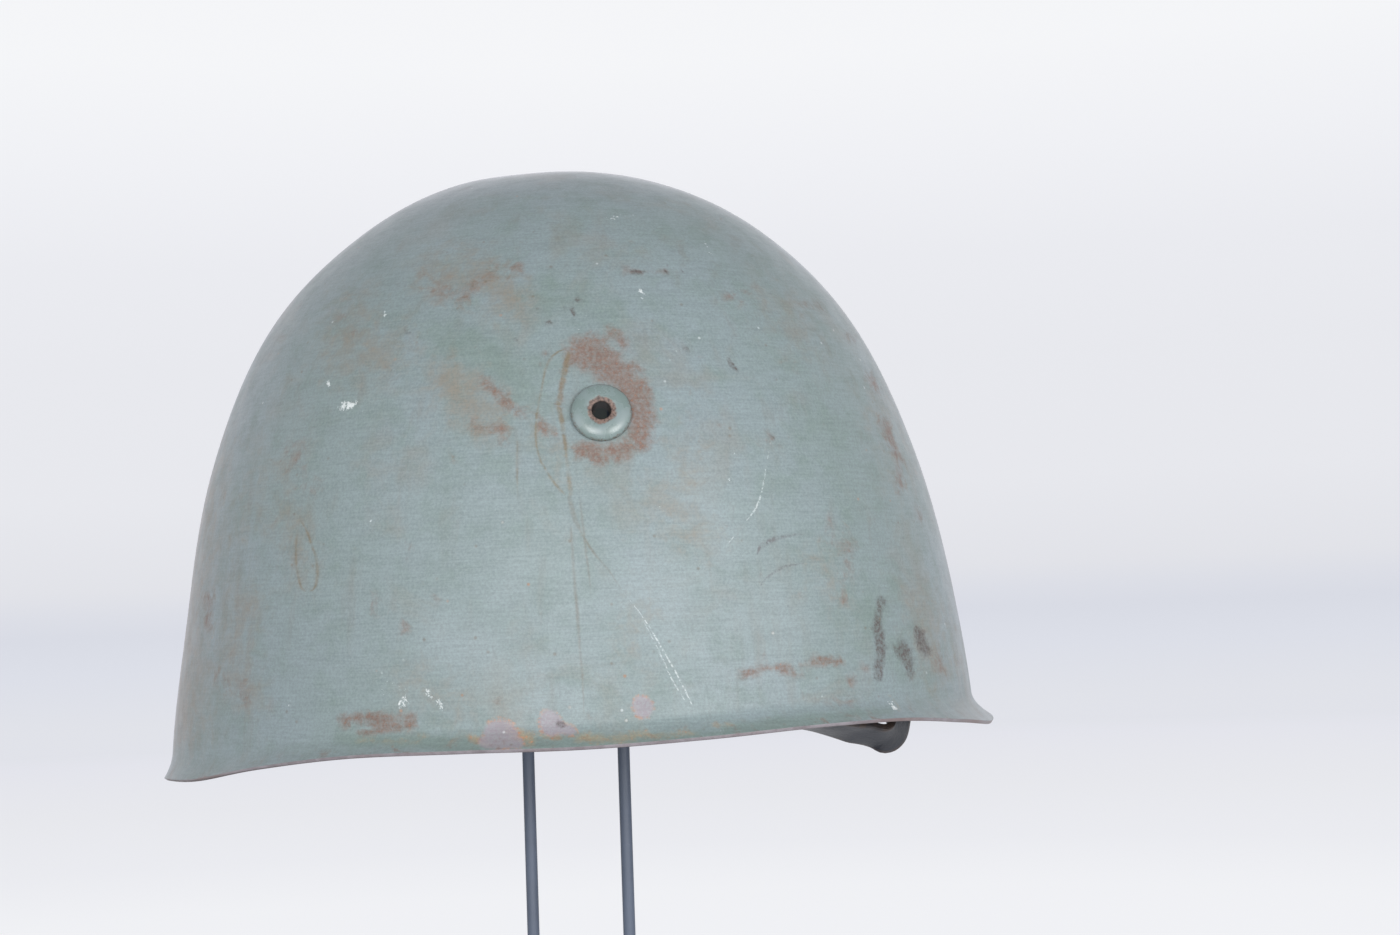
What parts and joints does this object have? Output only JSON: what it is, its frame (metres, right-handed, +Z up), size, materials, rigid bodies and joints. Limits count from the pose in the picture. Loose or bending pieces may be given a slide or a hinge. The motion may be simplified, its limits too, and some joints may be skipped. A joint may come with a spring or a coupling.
{
  "type": "steel combat helmet on a wire stand",
  "caption": "Domed steel combat helmet with a turned-out rim, hollow vent rivets and a leather chin strap, held up by a wire stand on a round base.",
  "frame": {"origin": "middle of the underside of the stand's round base", "axes": "+X towards the helmet's front, +Y towards its left side, +Z up"},
  "size_m": [0.2728, 0.2402, 0.308],
  "materials": {
    "shell_paint": "satin grey-green paint, worn, with rust at chips and along the rim",
    "vent_paint": "semi-gloss grey-green paint, rubbed to rusty steel at the hole",
    "bracket_steel": "dull dark steel",
    "strap_leather": "aged blue-black leather, brown at the edges",
    "stand_paint": "satin blue-grey paint"
  },
  "bodies": {
    "root": {"shell": "shell_paint", "vent_right": "vent_paint", "vent_left": "vent_paint", "vent_rear": "vent_paint", "bracket_right": "bracket_steel", "bracket_left": "bracket_steel", "chin_strap": "strap_leather", "stand_wire": "stand_paint", "stand_base": "stand_paint"}
  },
  "joints": []
}
